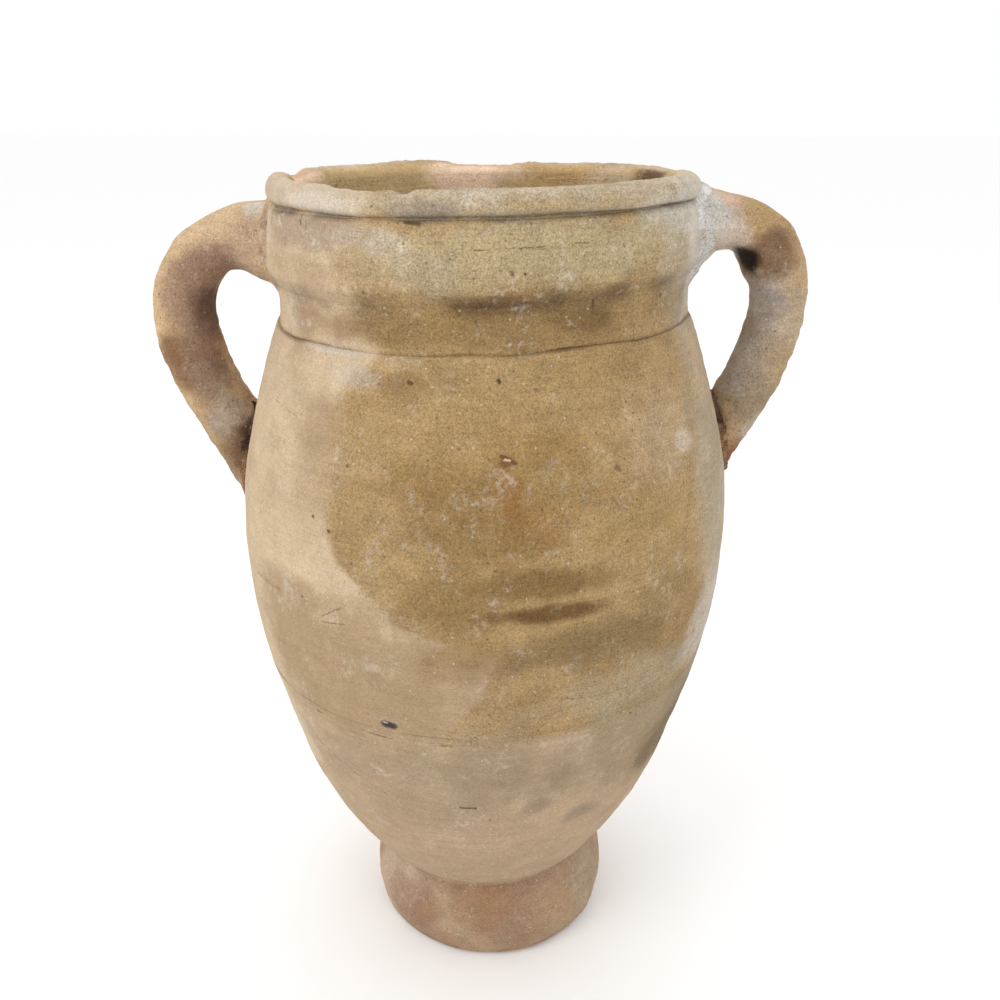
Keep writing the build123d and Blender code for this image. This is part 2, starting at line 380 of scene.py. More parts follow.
# Washes of colour on the wall: (azimuth, height, half width, half height, colour, strength)
WALL_WASHES = [
    (-30, 224, 34, 48, rgb(174, 149, 116), 0.95),
    (-20, 160, 40, 30, rgb(170, 148, 120), 0.6),
    (-69, 230, 13, 70, PALE_CLAY, 0.8),
    (46, 172, 30, 38, rgb(156, 138, 108), 0.7),
    (-8, 176, 7, 22, PALE_CLAY, 0.25),
    (2, 172, 14, 26, rgb(154, 133, 105), 0.5),
    (60, 166, 16, 34, rgb(138, 120, 92), 0.6),
    (-66, 152, 12, 14, PALE_CLAY, 0.6),
    (2, 392, 52, 11, rgb(146, 118, 76), 0.8),
    # Painted shadow under the collar's ledge, where a crack runs down the neck.
    (25, 393, 9, 6, rgb(122, 96, 58), 0.6),
    (-50, 392, 12, 9, rgb(172, 144, 112), 0.7),
    (-50, 431, 22, 8, rgb(172, 149, 126), 0.8),
    (-50, 414, 12, 9, rgb(184, 158, 127), 0.7),
    (-19, 368, 8, 9, rgb(150, 120, 80), 0.85),
    (28, 372, 16, 8, OCHRE, 0.7),
    (2, 345, 26, 22, OCHRE, 0.6),
    (8, 326, 26, 26, rgb(158, 126, 78), 0.55),
    (-3, 312, 15, 24, BROWN, 0.6),
    (10, 281, 15, 8, rgb(132, 104, 62), 0.9),
    (-6, 274, 13, 26, rgb(146, 117, 74), 0.75),
    (10, 266, 12, 5, rgb(108, 78, 42), 0.9),
    (26, 244, 24, 13, rgb(136, 112, 76), 0.8),
    (48, 240, 10, 22, BROWN, 0.35),
    (42, 336, 12, 26, PALE_CLAY, 0.35),
    (33, 300, 14, 20, OCHRE, 0.8),
    (10, 214, 10, 12, BROWN, 0.3),
    (31, 214, 20, 16, GREY_CLAY, 0.4),
    (66, 222, 13, 40, PLASTER, 0.5),
    (64, 300, 12, 60, GREY_CLAY, 0.65),
    (70, 405, 14, 30, PLASTER, 0.6),
    (28, 124, 8, 7, rgb(142, 128, 108), 0.6),
    (55, 130, 22, 30, TAN_CLAY, 0.45),
    (60, 436, 22, 16, rgb(214, 208, 196), 0.8),
    (-13, 441, 9, 6, rgb(132, 120, 110), 0.7),
    (-42, 443, 12, 6, rgb(226, 218, 206), 0.6),
    (16, 441, 14, 5, rgb(176, 146, 94), 0.7),
    (13, 141, 5, 8, rgb(140, 124, 102), 0.55),
    (54, 412, 10, 14, rgb(190, 178, 158), 0.5),
    (64, 158, 14, 26, rgb(116, 98, 70), 0.7),
    (66, 190, 12, 18, rgb(140, 124, 98), 0.5),
    (-66, 158, 10, 30, rgb(214, 196, 168), 0.5),
    (-64, 360, 10, 20, rgb(196, 170, 138), 0.4),
    (-5, 238, 10, 9, rgb(150, 122, 82), 0.4),
    (-30, 370, 7, 7, rgb(192, 178, 162), 0.55),
    (-38, 379, 14, 2.0, rgb(204, 194, 180), 0.6),
    (14, 424, 44, 17, rgb(186, 169, 134), 0.65),
    # Painted shade with dirt in the band just under the collar's nose.
    (26, 402, 30, 5, rgb(150, 128, 92), 0.4),
    (-28, 430, 12, 5, rgb(194, 182, 166), 0.4),
    (-22, 427, 6, 7, rgb(204, 194, 180), 0.25),
    (-36, 392, 10, 9, rgb(152, 124, 90), 0.7),
    (60, 392, 12, 10, rgb(152, 132, 100), 0.6),
    (-4, 247, 8, 9, rgb(146, 118, 74), 0.6),
    (-5, 296, 8, 9, rgb(150, 121, 78), 0.5),
    (14, 340, 14, 10, rgb(158, 126, 78), 0.5),
    (10, 308, 8, 12, rgb(150, 115, 66), 0.6),
    (-44, 264, 14, 11, rgb(172, 145, 110), 0.5),
    (62, 152, 15, 22, rgb(128, 110, 82), 0.7),
    (40, 262, 9, 10, rgb(150, 126, 86), 0.5),
    (-14, 416, 8, 10, rgb(172, 158, 134), 0.4),
    (50, 330, 4, 6, LIME, 0.4),
    (-68, 330, 14, 80, PALE_CLAY, 0.6),
    (4.2, 336, 2.2, 3.5, rgb(120, 80, 44), 0.8),
    (5, 322, 3, 13, rgb(150, 104, 56), 0.6),
    (-22, 201.5, 2.4, 2.6, rgb(70, 66, 64), 0.9),
]


def washed(colour, azimuth, height, points, washes, seed=60):
    """Lays soft-edged patches of colour over a wall, their edges broken up by noise."""
    drift = noise(points, 0.022, seed, 3)
    blots = noise(points, 0.008, seed + 5, 2)
    for centre, level, half_width, half_height, paint, strength in washes:
        across = wrapped(azimuth - centre) / half_width
        up = (height / MM - level) / half_height
        reach = np.sqrt(across**2 + up**2) + 0.28 * drift + 0.12 * blots
        colour = mix(colour, paint, strength * (1 - smoothstep(0.55, 1.25, reach)))
    return colour


def stain(azimuth, height, points):
    """The ochre stain down the front: 1 inside it, with a sharp tide line low on its left."""
    levels, edges, fades = np.array(STAIN_EDGE).T
    ragged = 1.6 * noise(points, 0.03, 70, 2) + 0.5 * noise(points, 0.006, 71)
    edge = np.interp(height / MM, levels, edges)
    fade = np.interp(height / MM, levels, fades)
    inside = smoothstep(-fade, fade, azimuth - edge + ragged)
    faded = 1 - smoothstep(48, 72, azimuth + 6 * noise(points, 0.03, 72, 2))
    above = smoothstep(WHEEL_LINE - 8 * MM, WHEEL_LINE + 1 * MM, height)
    return inside * faded * above


def body_colour(azimuth, height, points):
    """The outside of the body, neck and rim."""
    blotch = noise(points, 0.035, 73, 3)
    colour = mix(PALE_CLAY, TAN_CLAY, smoothstep(0.3, 1.1, 0.5 + 0.5 * blotch))
    low = smoothstep(0.27, 0.19, height) * smoothstep(-75, -40, azimuth) * smoothstep(170, 110, azimuth)
    colour = mix(colour, ROSY_CLAY, 0.8 * low)
    inside = stain(azimuth, height, points)
    brown = smoothstep(-0.1, 0.9, noise(points, (0.03, 0.03, 0.012), 74, 3))
    stained = mix(OCHRE, BROWN, 0.45 * brown)
    colour = mix(colour, stained, 0.9 * inside)
    away = smoothstep(95, 150, np.abs(azimuth))
    colour = mix(colour, TAN_CLAY, 0.5 * away)
    return washed(colour, azimuth, height, points, WALL_WASHES)


def dirt_and_shade_near(height, level, reach, points, seed):
    """How dark a band at `level` is made, by dirt and by painted shade: patchy, fading within `reach`
    either side.
    """
    patchy = smoothstep(-0.7, 0.6, noise(points, 0.018, seed, 2))
    return patchy * np.exp(-(((height - level) / reach) ** 2))


def shaded(colour, points, seed=80):
    """Fine unevenness of tone that every fired surface has."""
    tone = 1 + 0.05 * noise(points, 0.012, seed, 2) + 0.035 * noise(points, (0.1, 0.1, 0.0022), seed + 2)
    tone = tone + 0.04 * noise(points, 0.003, seed + 3)
    return colour * tone[..., None]


def lime_bloom(points, amount, seed=90):
    """Patchy white lime, where `amount` is the share of the surface it covers."""
    cloud = 0.55 * noise(points, 0.004, seed, 3) + 0.6 * noise(points, 0.03, seed + 4, 2)
    return smoothstep(1.1 - 2 * amount, 2.0 - 2 * amount, cloud + 0.35)


# ---------------------------------------------------------------- walls

def band(outside, step, top, inside, inner_step, bottom):
    """A ring of wall: its outside, the joint over it, its inside and the joint under it."""
    return Wall(
        (outside, step, OUTSIDE), (top, JOINT_STEP, HIDDEN),
        (inside, inner_step, INSIDE), (bottom, JOINT_STEP, HIDDEN)).close()


def body_lower(material):
    split = int(np.argmax(OUTLINE[:, 1] > FOOT_TOP + MM))
    flank = OUTLINE[split:][OUTLINE[split:, 1] < WHEEL_LINE]
    inside = inner_line()
    inside = inside[inside[:, 1] < WHEEL_LINE + LAP][::-1]
    outer = float(np.interp(WHEEL_LINE, OUTLINE[:, 1], OUTLINE[:, 0]))
    joint = lap(WHEEL_LINE, outer, inside[0][0])
    wall = Wall(
        (OUTLINE[: split + 1], 4 * MM, HIDDEN),
        (np.vstack([flank, [[outer, WHEEL_LINE]]]), 1.8 * MM, OUTSIDE),
        (joint, JOINT_STEP, HIDDEN),
        (np.vstack([[joint[-1]], inside]), 8 * MM, INSIDE))
    turned_wall("body_lower", wall, material)


def body_upper(material):
    stretch = OUTLINE[(OUTLINE[:, 1] > WHEEL_LINE) & (OUTLINE[:, 1] < SHOULDER)]
    outer = [float(np.interp(level, OUTLINE[:, 1], OUTLINE[:, 0])) for level in (WHEEL_LINE, SHOULDER)]
    inside = inner_line()
    inside = inside[(inside[:, 1] > WHEEL_LINE + LAP) & (inside[:, 1] < SHOULDER)][::-1]
    outside = np.vstack([[[outer[0], WHEEL_LINE]], stretch, [[outer[1], SHOULDER]]])
    top = lap(SHOULDER, outer[1], BORE)
    bottom = lap(WHEEL_LINE, outer[0], inside[-1][0])[::-1]
    wall = band(outside, 1.75 * MM, top, np.vstack([[top[-1]], inside, [bottom[0]]]), 9 * MM, bottom)
    turned_wall("body_upper", wall, material)


def neck_band(material):
    top = lap(COLLAR, NECK_RADIUS + NECK_FLARE, BORE)
    bottom = lap(SHOULDER, NECK_RADIUS, BORE)[::-1]
    outside = smooth_line([
        (NECK_RADIUS, SHOULDER), (NECK_RADIUS - 0.7 * MM, SHOULDER + 9 * MM),
        (NECK_RADIUS - 0.2 * MM, COLLAR - 5 * MM), (NECK_RADIUS + NECK_FLARE, COLLAR)], 60)
    wall = band(outside, 1.3 * MM, top, [top[-1], bottom[0]], JOINT_STEP, bottom)
    turned_wall("neck_band", wall, material)


def rim_collar(material):
    outside = smooth_line(collar_line(), 120)
    top = lap(LIP, outside[-1][0], BORE)
    top = [(radius, height - LAP / 2 if height > LIP else height) for radius, height in top]
    bottom = lap(COLLAR, outside[0][0], BORE)[::-1]
    wall = band(outside, 1.1 * MM, top, [top[-1], bottom[0]], JOINT_STEP, bottom)
    turned_wall("rim_collar", wall, material)


def lip_line():
    """The rolled lip's section, round from its groove over the crest and down the bore."""
    middle = (BORE + LIP_RADIUS) / 2
    half = (LIP_RADIUS - BORE) / 2
    level = LIP + 5 * MM
    low = level - LIP
    high = HEIGHT - level
    roll = []
    for step in range(41):
        turn = math.radians(-62 + step * 242 / 40)
        rise = math.sin(turn)
        roll.append((middle + half * math.cos(turn), level + rise * (high if rise > 0 else low)))
    under = LIP + LAP / 2
    return [(NECK_RADIUS - 0.9 * MM, LIP), *roll, (BORE, under), (middle - half / 2, under)]


def rim_lip(material):
    section = lip_line()
    wall = Wall(
        (section[:-2], 0.8 * MM, OUTSIDE),
        ([section[-3], section[-2]], 1.5 * MM, INSIDE),
        ([section[-2], section[-1], section[0]], JOINT_STEP, HIDDEN)).close()
    turned_wall("rim_lip", wall, material)


# How far the lip's crest is worn or broken down as it goes round: (azimuth, drop in mm)
LIP_CREST = [
    (-180, 3.2), (-171, 2.6), (-165, 0.4), (-150, 0.2), (-138, 0.6), (-112, 0.3), (-106, 3.2), (-94, 3),
    (-88, 0.2), (-76, -1.4), (-66, 0.1), (-52, 0.7), (-44, 0.9), (-40, 2.3), (-29, 2.7), (-24, 2.0),
    (-21.5, 3.2), (-19.5, 2.9), (-17.5, 1.5), (-12, 1.1), (4, 0.4), (25, 0.2), (60, 0), (90, 0.2),
    (103, 1.3), (112, 0.3), (140, 0.4), (150, 0.9), (165, 1.0), (171, 3.4), (180, 3.2)]

# How plainly the shoulder seam shows as it goes round: (azimuth, 0 to 1)
SEAM_SHOWS = [
    (-180, 0.5), (-90, 0.4), (-66, 0.7), (-50, 0.9), (-36, 0.8), (-28, 0.15), (-12, 0.1), (-5, 0.45),
    (6, 0.5), (13, 0.15), (20, 0.9), (36, 0.8), (46, 0.25), (70, 0.4), (120, 0.6), (180, 0.5)]


def seam_shows(azimuth):
    azimuths, shares = np.array(SEAM_SHOWS).T
    return np.interp(azimuth, azimuths, shares)


def crest_drop(azimuth, points):
    """How far the crest is worn or broken away, in metres."""
    azimuths, drops = np.array(LIP_CREST).T
    ragged = 1.2 * noise(points * (1, 1, 0), 0.006, 100, 2)
    drop = np.interp(azimuth + ragged, azimuths, drops)
    return MM * (drop + 0.3 * noise(points * (1, 1, 0), 0.004, 102, 2))


def turned_wall(name, wall, material):
    """Gives a turned section its relief and colours and makes the piece."""
    nominal = wall.place()
    outside, inside = wall.skin == OUTSIDE, wall.skin == INSIDE
    height, azimuth = wall.height, wall.azimuth
    out = np.where(wall.skin == HIDDEN, 0.0, throwing_relief(nominal, 10))
    open_seam = seam_shows(azimuth)
    for joint, depth in ((SHOULDER, 0.9 * open_seam), (WHEEL_LINE, 0.3), (COLLAR, 0.1), (LIP, 0.6)):
        out = out + np.where(outside, seam_relief(height, nominal, joint, depth * MM, 20), 0)
    points = wall.place(out)
    colour = body_colour(azimuth, height, nominal)
    # Painted shade with dirt: a dark brown band on the neck just under the collar's nose, everywhere but
    # on the left.
    under_nose_shade_and_dirt = dirt_and_shade_near(height, COLLAR + 0.5 * MM, 5.5 * MM, nominal, 34)
    colour = mix(colour, UNDERCUT_SHADE_AND_DIRT, 0.85 * under_nose_shade_and_dirt * smoothstep(-110, -60, azimuth))
    # Dirt in the seams and grooves; under the collar's nose and under the lip it is painted shade as
    # well as dirt.
    groove_dirt_and_shade = (
        (COLLAR + 1.6 * MM, 3.4 * MM, 0.6, 30), (LIP, 1.8 * MM, 0.9, 31),
        (SHOULDER, 0.6 * MM, 0.8 * open_seam, 32), (WHEEL_LINE, 0.7 * MM, 0.25, 33))
    dirt_and_shade_amount = sum(
        share * dirt_and_shade_near(height, level, reach, nominal, seed) for level, reach, share, seed in groove_dirt_and_shade)
    colour = mix(colour, DIRT_AND_SHADE, 0.62 * np.clip(dirt_and_shade_amount, 0, 1))
    lime = 0.10 + 0.16 * smoothstep(0.37, 0.45, height) + 0.12 * smoothstep(35, 75, np.abs(azimuth))
    colour = mix(colour, LIME, 0.5 * lime_bloom(nominal, lime))
    if name == "rim_lip":
        drop = crest_drop(azimuth, nominal)
        middle = LIP + 5 * MM
        points[..., 2] -= drop * np.clip((points[..., 2] - middle) / (HEIGHT - middle), 0, 1.1)
        crest = smoothstep(LIP + 4 * MM, HEIGHT - 2 * MM, height)
        pale = 0.5 + 0.35 * noise(nominal, 0.012, 101, 3)
        crust = pale * (0.45 + 0.35 * crest) * smoothstep(110, 70, np.abs(azimuth))
        colour = mix(colour, rgb(206, 196, 178), crust)
        broken = crest * smoothstep(1.4 * MM, 2.4 * MM, drop) * smoothstep(80, 90, np.abs(azimuth))
        colour = mix(colour, PEACH_BREAK, 0.85 * broken)
    within = bore_colour(azimuth, height, nominal)
    colour = np.where(inside[..., None], within, colour)
    if name == "rim_lip":
        beyond = np.hypot(nominal[..., 0], nominal[..., 1]) - BORE - 3 * MM
        colour = mix(colour, within, smoothstep(1.5 * MM, -1.5 * MM, beyond))
    grit = np.where(inside, 0.8, 0.55 + 0.6 * stain(azimuth, height, nominal))
    # A section that starts at the axis ends there too, and is capped instead of joined up.
    looped = wall.section[0][0] > 2 * POLE
    tint = shaded(colour, nominal)
    clay_piece(name, lean(points), tint, grit, material, closed=looped, caps=not looped)


# Patches on the inside of the mouth: (azimuth, height, half width, half height, colour, strength)
BORE_WASHES = [
    (-136, 434, 32, 26, rgb(222, 192, 142), 0.85),
    (-140, 420, 34, 10, rgb(178, 144, 98), 0.7),
    (-176, 443, 17, 12, rgb(252, 220, 190), 0.95),
    (-100, 441, 13, 14, rgb(246, 214, 182), 0.9),
    (150, 432, 24, 22, rgb(202, 168, 118), 0.8),
    (128, 438, 12, 12, rgb(218, 192, 158), 0.8),
    (107, 442, 12, 13, rgb(104, 76, 54), 0.9),
    (0, 400, 60, 60, rgb(120, 98, 66), 0.6),
]


def bore_colour(azimuth, height, points):
    """The inside: ochre-brown, with peach where the skin has flaked, darker further down."""
    colour = mix(BORE_CLAY, TAN_CLAY, smoothstep(0, 1, noise(points, 0.02, 110, 3)))
    colour = washed(colour, azimuth, height, points, BORE_WASHES, 111)
    return mix(colour, BROWN * 0.6, 0.6 * smoothstep(0.40, 0.25, height))


# ---------------------------------------------------------------- foot

# Patches on the foot: (azimuth, height, half width, half height, colour, strength)
FOOT_WASHES = [
    (-60, 32, 20, 40, rgb(208, 186, 160), 0.7),
    (-46, 22, 20, 18, rgb(142, 108, 86), 0.6),
    (-2, 40, 16, 18, rgb(158, 122, 92), 0.7),
    (12, 20, 12, 16, rgb(160, 134, 108), 0.5),
    (40, 30, 16, 24, TAN_CLAY, 0.5),
    (62, 30, 16, 30, GREY_CLAY, 0.5),
]


def foot(material):
    """The foot ring: rounded at its base, seated under the bowl."""
    base = FOOT_RADIUS - 6 * MM
    inner = base - 15 * MM
    top = FOOT_RADIUS - FOOT_WAIST
    bowl = OUTLINE[OUTLINE[:, 1] < FOOT_TOP]
    top_level = float(np.interp(top, bowl[:, 0], bowl[:, 1]))
    seat = bowl[(bowl[:, 0] < top) & (bowl[:, 0] > inner - 3 * MM)][::-1]
    outside = smooth_line([
        (base, 0), (base + 2.6 * MM, 1.2 * MM), (base + 5 * MM, 4.6 * MM),
        (FOOT_RADIUS + 0.6 * MM, 11 * MM), (FOOT_RADIUS + 2.2 * MM, 19 * MM),
        (FOOT_RADIUS + 1.2 * MM, 28 * MM), (FOOT_RADIUS - 2.8 * MM, 39 * MM),
        (top, top_level)], 90)
    wall = Wall(
        (outside, 1.1 * MM, OUTSIDE),
        (np.vstack([[outside[-1]], seat]), 4 * MM, HIDDEN),
        ([tuple(seat[-1]), (inner, 2.5 * MM), (inner + 2 * MM, 0)], 3 * MM, INSIDE),
        ([(inner + 2 * MM, 0), (base, 0)], 3 * MM, HIDDEN)).close()
    nominal = wall.place()
    height, azimuth = wall.height, wall.azimuth
    worn = 0.6 * MM * noise(nominal, 0.012, 121, 2) * np.exp(-((height - 3 * MM) / (5 * MM)) ** 2)
    up = smoothstep(0.5 * MM, 6 * MM, height)
    up = up * (1 - 0.7 * smoothstep(FOOT_TOP - 12 * MM, FOOT_TOP, height))
    relief = up * (1.3 * throwing_relief(nominal, 120) + 0.9 * MM * noise(nominal, 0.03, 122))
    points = wall.place(np.where(wall.skin == HIDDEN, 0.0, relief + up * worn))
    points[..., 2] = np.maximum(points[..., 2], 0)
    colour = mix(FOOT_CLAY, ROSY_CLAY, smoothstep(-0.2, 0.8, noise(nominal, 0.025, 123, 3)))
    colour = washed(colour, azimuth, height, nominal, FOOT_WASHES, 124)
    colour = mix(colour, DIRT_AND_SHADE, 0.35 * dirt_and_shade_near(height, 1 * MM, 5 * MM, nominal, 125))
    # Painted shadow: a broad mauve-brown band on the foot's top, under the bowl's edge.
    colour = mix(colour, SHADE_MAUVE, 0.4 * dirt_and_shade_near(height, FOOT_TOP - 11 * MM, 5 * MM, nominal, 127))
    clay_piece("foot", lean(points), shaded(colour, nominal, 126), 0.9, material)


def foot_luting_band(material):
    """Clay drawn down from the bowl over the foot's top, ending in a soft wavy edge."""
    rows = 26
    azimuth = np.repeat(wrapped(np.degrees(ROUND) - FRONT_TURN), 2 * rows, 0)
    ring = np.stack([np.sin(ROUND) * 0.1, np.cos(ROUND) * 0.1, 0 * ROUND], -1)
    low = FOOT_TOP - 11 * MM + 1.6 * MM * noise(ring, 0.05, 130, 2)
    high = FOOT_TOP + 11 * MM + 1.5 * MM * noise(ring, 0.06, 131, 2)
    share = np.linspace(0, 1, rows)[:, None]
    height = low + share * (high - low)
    under = np.maximum(pot_radius(height), FOOT_RADIUS - FOOT_WAIST + 0.4 * MM)
    thick = MM * (1.5 * np.sin(math.pi * np.clip(share * 1.05 + 0.06, 0, 1)) ** 0.6 - 0.3)
    radius = under + thick * (1 + 0.3 * noise(ring, 0.03, 132))
    back = (radius - np.maximum(thick, 0) - 3 * MM)[::-1]
    height = np.concatenate([height, height[::-1]])
    radius = np.concatenate([radius, back])
    nominal = around(radius, ROUND, height)
    out = np.where(np.arange(2 * rows)[:, None] < rows, throwing_relief(nominal, 10), 0)
    scaled = (radius + out) / radius
    points = nominal * np.stack([scaled, scaled, np.ones_like(scaled)], -1)
    colour = body_colour(azimuth, height, nominal)
    colour = mix(colour, ROSY_CLAY, 0.4)
    colour = mix(colour, FOOT_CLAY, smoothstep(0.42, 0.0, np.concatenate([share, share[::-1]])))
    colour = mix(colour, DIRT_AND_SHADE, 0.2 * dirt_and_shade_near(height, FOOT_TOP - 8 * MM, 1.4 * MM, nominal, 133))
    clay_piece("foot_luting_band", lean(points), shaded(colour, nominal), 0.6, material)


# ---------------------------------------------------------------- handles

# Sections down each handle, in mm: outer x and z, inner x and z, and width round the pot
LEFT_RIBS = [
    (102, 436.6, 102, 392.4, 46), (108, 436.2, 108, 393.3, 45), (115, 435.3, 114, 394.7, 43),
    (124.3, 434.4, 124.8, 399.4, 39), (136.7, 431.4, 133.1, 399.4, 36), (150.3, 424.9, 138.8, 395.4, 34),
    (162.3, 415.6, 143, 389.3, 33), (172.2, 402.2, 145.1, 383.1, 33), (177.5, 385.8, 145.9, 376, 34),
    (177.5, 369.4, 145.4, 367.8, 34), (174.8, 354.1, 143, 358.2, 34), (169.1, 335.8, 138.5, 345, 34),
    (160.7, 319.6, 132, 330.8, 35), (150.3, 301.1, 126.4, 322.4, 36), (141.7, 283.3, 121.2, 307.2, 33),
    (137, 272, 117.1, 293.1, 28)]
RIGHT_RIBS = [
    (101, 447, 101, 397, 46), (109.7, 445.6, 107.7, 402.7, 44), (115.5, 442.6, 114, 409.7, 42),
    (124.2, 440.3, 120.4, 412.3, 38), (134.9, 437.8, 127.6, 411.8, 35), (146.9, 431.8, 131.5, 406.8, 33),
    (157.6, 423.6, 134.9, 399.5, 32), (164.8, 409.6, 138.4, 394.2, 32), (167.6, 396.9, 139.4, 388.8, 32),
    (167.9, 383.3, 139.3, 380.9, 32), (166.2, 369.5, 136.8, 371.1, 32), (162.4, 355.8, 133.5, 360.7, 33),
    (156.6, 341, 129.6, 348.3, 33), (148.9, 324.2, 124.2, 338.4, 34), (140.7, 309.8, 119.4, 324.5, 33),
    (135.4, 300.8, 116.5, 310.7, 30), (132, 292, 114.5, 298.8, 25)]
HOLLOW = np.array([133, -11, 408]) * MM       # a deep pit inside the right handle's bend
TUBE_ROWS = 230
TUBE_COLUMNS = 132


def tube(ribs, side):
    """The handle's skin: row by row down from the collar, columns round from its outer face."""
    outer_x, outer_z, inner_x, inner_z, width = (smooth_line(ribs, TUBE_ROWS) * MM).T
    outer = np.stack([side * outer_x, 0 * width, outer_z], -1)[:, None, :]
    inner = np.stack([side * inner_x, 0 * width, inner_z], -1)[:, None, :]
    turn = np.linspace(0, 2 * math.pi, TUBE_COLUMNS, endpoint=False)[None, :, None]
    flat = 2 / 2.25
    across = np.sign(np.cos(turn)) * np.abs(np.cos(turn)) ** flat
    aside = np.sign(np.sin(turn)) * np.abs(np.sin(turn)) ** flat
    half_width = (width / 2)[:, None, None]
    skin = (outer + inner) / 2 + across * (outer - inner) / 2
    return skin + aside * half_width * np.array([0.0, -1.0, 0.0])


def skin_out(points):
    """Unit directions out of a tube's skin."""
    down = np.gradient(points, axis=0)
    around = np.roll(points, -1, 1) - np.roll(points, 1, 1)
    out = np.cross(down, around)
    out /= np.maximum(np.linalg.norm(out, axis=-1, keepdims=True), 1e-12)
    middle = points.mean(axis=1, keepdims=True)
    return out * np.sign(np.sum(out * (points - middle), axis=-1, keepdims=True))


def unlean(points):
    return 2 * points - lean(points)


def kept_out_of_mouth(points):
    """Holds buried parts within the wall, so that nothing shows inside the jar."""
    place = unlean(points)
    radius = np.hypot(place[..., 0], place[..., 1])
    least = pot_radius(place[..., 2]) - 6.5 * MM
    push = np.maximum(least / radius, 1)
    return points * np.stack([push, push, np.ones_like(push)], -1)


# Colour on the handles: (x, y, z, reach, colour, strength), in mm
LEFT_PATCHES = [
    # Partly painted light: the pale peach over the left handle's outer top is brightened as if by the
    # light from above.
    (-140, 0, 434, 34, rgb(218, 188, 150), 0.9),
    (-180, -2, 390, 32, rgb(214, 180, 138), 0.95),
    (-120, -16, 410, 20, rgb(190, 160, 136), 0.7),
    # Painted shade: mauve and dark brown on the left handle's front and inner faces round its bend,
    # where shade falls.
    (-138, -14, 402, 17, SHADE_MAUVE, 0.85),
    (-150, -17, 388, 20, rgb(160, 130, 110), 0.85),
    (-145, -6, 378, 14, rgb(104, 78, 68), 0.85),
    (-158, -17, 352, 18, rgb(134, 98, 70), 0.9),
    (-146, -15, 366, 14, rgb(150, 122, 106), 0.7),
    (-146, -15, 345, 12, rgb(150, 126, 108), 0.7),
    (-138, -16, 322, 12, rgb(176, 160, 146), 0.7),
    (-166, 0, 328, 20, rgb(196, 164, 124), 0.7),
    (-133, -16, 300, 16, rgb(140, 112, 84), 0.7),
    (-126, -14, 304, 14, rgb(112, 82, 58), 0.8),
    # Painted shade: near black where the left handle's lower root meets the pot.
    (-122, -12, 312, 10, rgb(58, 42, 34), 0.95),
    (-119, -12, 322, 8, rgb(66, 46, 34), 0.9),
    (-114, -12, 436, 8, LIME, 0.8),
]
RIGHT_PATCHES = [
    (112, -18, 432, 17, PLASTER, 0.95),
    (124, -14, 420, 12, rgb(214, 196, 180), 0.85),
    (124, -2, 412, 9, PLASTER, 0.9),
    (124, -12, 438, 8, rgb(206, 170, 148), 0.75),
    (146, -8, 434, 20, rgb(184, 152, 104), 0.95),
    (150, -14, 412, 14, rgb(160, 130, 104), 0.8),
    (170, -6, 400, 24, rgb(194, 164, 124), 0.85),
    (142, -17, 385, 20, rgb(164, 154, 148), 0.85),
    (140, -15, 362, 20, rgb(160, 148, 134), 0.7),
    (160, -10, 372, 16, rgb(190, 168, 138), 0.7),
    (163, -6, 345, 22, rgb(186, 156, 116), 0.8),
    (140, -16, 340, 16, rgb(156, 140, 118), 0.7),
    (145, -14, 411, 13, rgb(124, 94, 66), 0.75),
    (134, -2, 386, 13, rgb(192, 184, 174), 0.7),
    (130, -4, 352, 15, rgb(186, 177, 165), 0.65),
    (118, -6, 405, 9, rgb(222, 218, 210), 0.8),
    # Painted shade: near black inside the deep pit in the right handle's bend.
    (133, -11, 408, 8.5, rgb(34, 26, 22), 0.97),
    # Painted shade: near black where the right handle's lower root meets the pot.
    (122, -12, 323, 10, rgb(52, 40, 34), 0.95),
    (119, -13, 331, 7, rgb(50, 38, 32), 0.9),
    (124, -13, 308, 9, rgb(92, 58, 40), 0.8),
    (146, -14, 318, 10, rgb(188, 178, 164), 0.6),
    (134, -12, 303, 12, rgb(136, 84, 54), 0.9),
    (130, -10, 292, 10, rgb(120, 80, 56), 0.8),
]


def patched(colour, points, patches, seed):
    """Lays round patches of colour in space, their edges broken up by noise."""
    drift = noise(points, 0.014, seed, 3) + 0.5 * noise(points, 0.004, seed + 4)
    for x, y, z, reach, paint, strength in patches:
        away = np.linalg.norm(points - np.array([x, y, z]) * MM, axis=-1) / (reach * MM)
        colour = mix(colour, paint, strength * (1 - smoothstep(0.6, 1.3, away + 0.22 * drift)))
    return colour


def handle(side_name, ribs, side, patches, material):
    """One strap handle, pinched and rough, with its tail drawn down onto the shoulder."""
    skin = tube(ribs, side)
    out = skin_out(skin)
    seed = 140 + int(side)
    down = np.linspace(0, 1, TUBE_ROWS)[:, None]
    lumps = 0.8 * noise(skin, 0.028, seed, 2) + 0.35 * noise(skin, 0.008, seed + 3, 2)
    sand = 0.12 * noise(skin, 0.0026, seed + 5)
    rough = smoothstep(0.45, 0.6, down) * 0.4 * noise(skin, 0.004, seed + 6, 2)
    hollow = 4 * np.exp(-np.sum(((skin - HOLLOW) / (5.5 * MM)) ** 2, axis=-1))
    points = skin + (lumps + sand + rough - hollow)[..., None] * MM * out
    browned = smoothstep(-0.5, 0.7, noise(skin, 0.02, seed + 8, 3))
    colour = mix(rgb(200, 172, 136), rgb(182, 152, 116), browned)
    colour = patched(colour, skin, patches, seed + 10)
    colour = mix(colour, LIME, 0.45 * lime_bloom(skin, 0.16, seed + 12))
    points = kept_out_of_mouth(points)
    clay_piece(
        "handle_" + side_name, points, shaded(colour, skin, seed + 14), 1.1, material,
        closed=False, caps=True)
    return points


